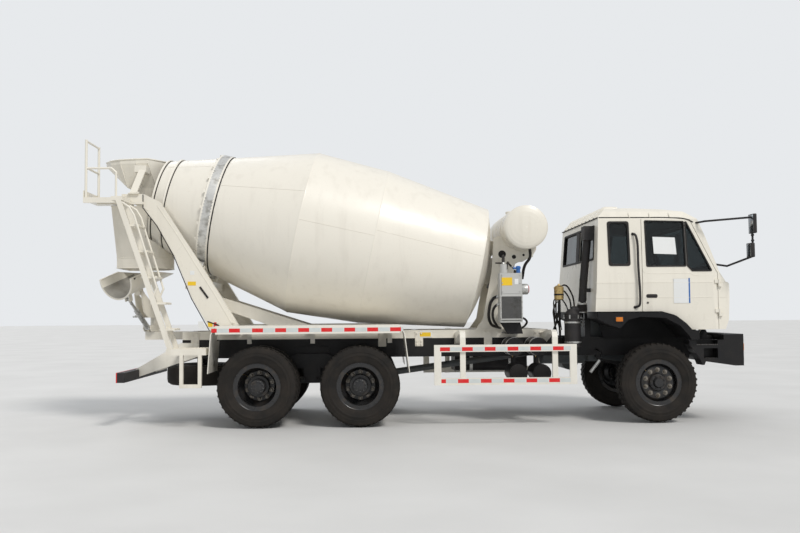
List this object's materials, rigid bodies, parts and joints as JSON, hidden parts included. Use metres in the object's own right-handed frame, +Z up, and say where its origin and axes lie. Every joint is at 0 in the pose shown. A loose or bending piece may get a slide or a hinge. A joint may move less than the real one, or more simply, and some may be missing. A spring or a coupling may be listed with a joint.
{
  "type": "concrete mixer truck",
  "caption": "Concrete mixer truck with a tilting cab, a tilted revolving drum on rollers, a feed hopper, a ladder with platform and a swinging discharge chute.",
  "frame": {"origin": "on the ground, under the middle of the outline", "axes": "+X forward along the truck, +Y to its left, +Z up"},
  "size_m": [8.62, 2.9, 3.726],
  "materials": {
    "cream_paint": "gloss",
    "black_paint": "satin",
    "dark_metal": "greasy",
    "grey_paint": "satin",
    "track_steel": "greasy",
    "tyre": "matte",
    "window": "gloss",
    "lamp": "gloss",
    "trim_plastic": "matte",
    "seat_fabric": "matte"
  },
  "bodies": {
    "chassis": {"chassis_frame": "black_paint", "subframe": "cream_paint", "powertrain": "dark_metal", "front_axle": "dark_metal", "rear_axles": "dark_metal", "leaf_springs": "dark_metal", "bumper": "black_paint", "lamps": "lamp", "front_pedestal": "cream_paint", "drum_gearbox": "dark_metal", "oil_cooler": "grey_paint", "water_tank": "cream_paint", "rear_pedestal": "cream_paint", "hopper": "cream_paint", "discharge_funnel": "cream_paint", "platform": "cream_paint", "ladder": "cream_paint", "rear_fenders": "cream_paint", "side_guards": "cream_paint", "underrun_bar": "cream_paint", "spare_wheel": "tyre", "air_tanks": "black_paint", "fuel_tank": "black_paint", "air_cleaner": "trim_plastic"},
    "cab": {"cab_shell": "cream_paint", "cab_glass": "window", "cab_interior": "seat_fabric", "cab_arches": "trim_plastic", "mirrors": "trim_plastic", "snorkel": "trim_plastic"},
    "door_left": {"door_left": "cream_paint", "door_glass_left": "window"},
    "door_right": {"door_right": "cream_paint", "door_glass_right": "window"},
    "drum": {"drum": "cream_paint"},
    "roller_left": {"roller_left": "track_steel"},
    "roller_right": {"roller_right": "track_steel"},
    "chute_swivel": {"chute_swivel": "cream_paint"},
    "chute": {"chute": "cream_paint"},
    "chute_jack": {"chute_jack": "cream_paint"},
    "knuckle_left": {"knuckle_left": "dark_metal"},
    "knuckle_right": {"knuckle_right": "dark_metal"},
    "wheel_front_left": {"rim_front_left": "grey_paint", "tyre_front_left": "tyre"},
    "wheels_middle_left": {"rims_middle_left": "grey_paint", "tyres_middle_left": "tyre"},
    "wheels_rear_left": {"rims_rear_left": "grey_paint", "tyres_rear_left": "tyre"},
    "wheel_front_right": {"rim_front_right": "grey_paint", "tyre_front_right": "tyre"},
    "wheels_middle_right": {"rims_middle_right": "grey_paint", "tyres_middle_right": "tyre"},
    "wheels_rear_right": {"rims_rear_right": "grey_paint", "tyres_rear_right": "tyre"}
  },
  "joints": [
    {"name": "steering_left", "type": "hinge", "parent": "chassis", "child": "knuckle_left", "pos_m": [3.12, 0.8, 0.52], "axis": [0, 0, 1], "range_deg": [-30, 30]},
    {"name": "steering_right", "type": "hinge", "parent": "chassis", "child": "knuckle_right", "pos_m": [3.12, -0.8, 0.52], "axis": [0, 0, 1], "range_deg": [-30, 30]},
    {"name": "cab_tilt", "type": "hinge", "parent": "chassis", "child": "cab", "pos_m": [3.97, 0, 1.15], "axis": [0, 1, 0], "range_deg": [0, 45]},
    {"name": "door_left_swing", "type": "hinge", "parent": "cab", "child": "door_left", "pos_m": [3.912, 1.162, 1.6], "axis": [0, 0, -1], "range_deg": [0, 65]},
    {"name": "door_right_swing", "type": "hinge", "parent": "cab", "child": "door_right", "pos_m": [3.912, -1.162, 1.6], "axis": [0, 0, 1], "range_deg": [0, 65]},
    {"name": "drum_spin", "type": "hinge", "parent": "chassis", "child": "drum", "pos_m": [-1.525, 0, 2.58], "axis": [0.9781, 0, -0.2079], "continuous": true},
    {"name": "roller_left_spin", "type": "hinge", "parent": "chassis", "child": "roller_left", "pos_m": [-2.8969, 0.515, 2.0608], "axis": [0.9781, 0, -0.2079], "continuous": true},
    {"name": "roller_right_spin", "type": "hinge", "parent": "chassis", "child": "roller_right", "pos_m": [-2.8969, -0.515, 2.0608], "axis": [0.9781, 0, -0.2079], "continuous": true},
    {"name": "chute_swing", "type": "hinge", "parent": "chassis", "child": "chute_swivel", "pos_m": [-3.6, 0, 1.155], "axis": [0, 0, -1], "range_deg": [0, 136]},
    {"name": "chute_raise", "type": "hinge", "parent": "chute_swivel", "child": "chute", "pos_m": [-3.7353, -0.335, 1.7284], "axis": [-0.9272, 0.3746, 0], "range_deg": [0, 20]},
    {"name": "chute_jack_turn", "type": "hinge", "parent": "chute_swivel", "child": "chute_jack", "pos_m": [-3.6618, -0.153, 1.262], "axis": [-0.9272, 0.3746, 0], "range_deg": [0, 5.69]},
    {"name": "wheel_front_left_spin", "type": "hinge", "parent": "knuckle_left", "child": "wheel_front_left", "pos_m": [3.12, 0.97, 0.52], "axis": [0, 1, 0], "continuous": true},
    {"name": "wheels_middle_left_spin", "type": "hinge", "parent": "chassis", "child": "wheels_middle_left", "pos_m": [-0.73, 0.93, 0.52], "axis": [0, 1, 0], "continuous": true},
    {"name": "wheels_rear_left_spin", "type": "hinge", "parent": "chassis", "child": "wheels_rear_left", "pos_m": [-2.03, 0.93, 0.52], "axis": [0, 1, 0], "continuous": true},
    {"name": "wheel_front_right_spin", "type": "hinge", "parent": "knuckle_right", "child": "wheel_front_right", "pos_m": [3.12, -0.97, 0.52], "axis": [0, 1, 0], "continuous": true},
    {"name": "wheels_middle_right_spin", "type": "hinge", "parent": "chassis", "child": "wheels_middle_right", "pos_m": [-0.73, -0.93, 0.52], "axis": [0, 1, 0], "continuous": true},
    {"name": "wheels_rear_right_spin", "type": "hinge", "parent": "chassis", "child": "wheels_rear_right", "pos_m": [-2.03, -0.93, 0.52], "axis": [0, 1, 0], "continuous": true}
  ],
  "couplings": [
    {"joint": "steering_right", "follows": "steering_left", "ratio": 1},
    {"joint": "roller_left_spin", "follows": "drum_spin", "ratio": -8.45},
    {"joint": "roller_right_spin", "follows": "drum_spin", "ratio": -8.45},
    {"joint": "chute_jack_turn", "follows": "chute_raise", "ratio": 0.2347}
  ]
}
